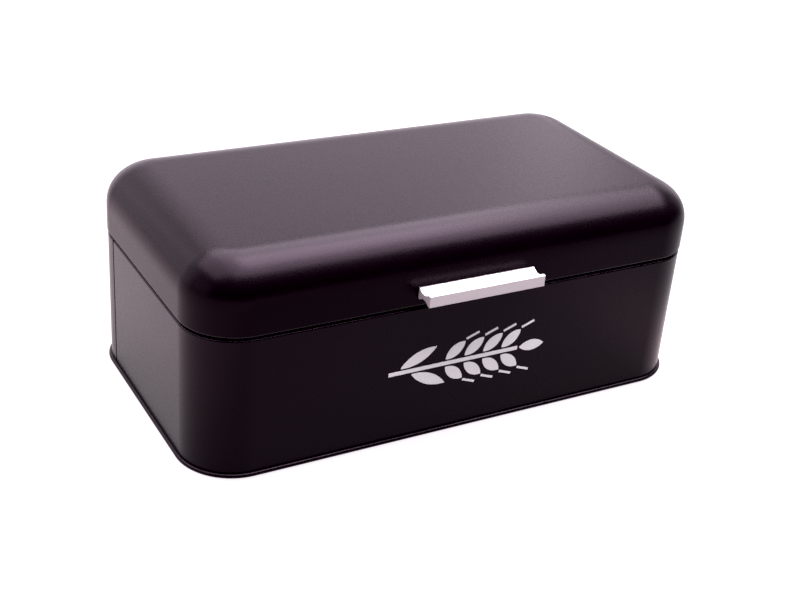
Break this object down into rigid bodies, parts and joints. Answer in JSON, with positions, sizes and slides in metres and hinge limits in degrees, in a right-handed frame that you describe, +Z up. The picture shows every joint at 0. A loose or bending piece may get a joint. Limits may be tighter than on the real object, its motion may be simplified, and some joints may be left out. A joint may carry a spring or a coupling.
{
  "type": "bread bin",
  "caption": "Rectangular sheet-steel bread bin with rounded corners, a lift-up lid on rear hinges and an extruded aluminium grip on the lid's front.",
  "frame": {"origin": "on the worktop, at the bottom centre of the whole bin's box, handle included", "axes": "+X along the width to the right as seen from the front, -Y towards the handle at the front, +Z up"},
  "size_m": [0.425, 0.2442, 0.1632],
  "materials": {
    "body_paint": "matt black powder coat, very finely textured",
    "lid_paint": "matt black powder coat, very finely textured",
    "handle_aluminium": "satin anodised, fine lengthwise brushing",
    "hinge_steel": "black oxide steel, slightly worn",
    "fastener_steel": "zinc plated",
    "rubber": "matt moulded rubber",
    "print_ink": "matt pale grey screen print"
  },
  "bodies": {
    "bin": {"base_pan": "body_paint", "front_wall": "body_paint", "back_wall": "body_paint", "rim_collar": "body_paint", "foot_front_left": "rubber", "foot_front_right": "rubber", "foot_rear_left": "rubber", "foot_rear_right": "rubber", "lid_bumper_left": "rubber", "lid_bumper_right": "rubber", "body_leaf_left": "hinge_steel", "body_leaf_right": "hinge_steel", "hinge_pin_left": "fastener_steel", "hinge_pin_right": "fastener_steel", "body_rivets_left": "fastener_steel", "body_rivets_right": "fastener_steel", "front_print": "print_ink"},
    "lid": {"lid_shell": "lid_paint", "handle": "handle_aluminium", "handle_screw_left": "fastener_steel", "handle_screw_right": "fastener_steel", "handle_washer_left": "fastener_steel", "handle_washer_right": "fastener_steel", "lid_leaf_left": "hinge_steel", "lid_leaf_right": "hinge_steel", "lid_rivets_left": "fastener_steel", "lid_rivets_right": "fastener_steel"}
  },
  "joints": [
    {"name": "lid_hinge", "type": "hinge", "parent": "bin", "child": "lid", "pos_m": [0, 0.11908, 0.1107], "axis": [-1, 0, 0], "range_deg": [0, 100]}
  ]
}
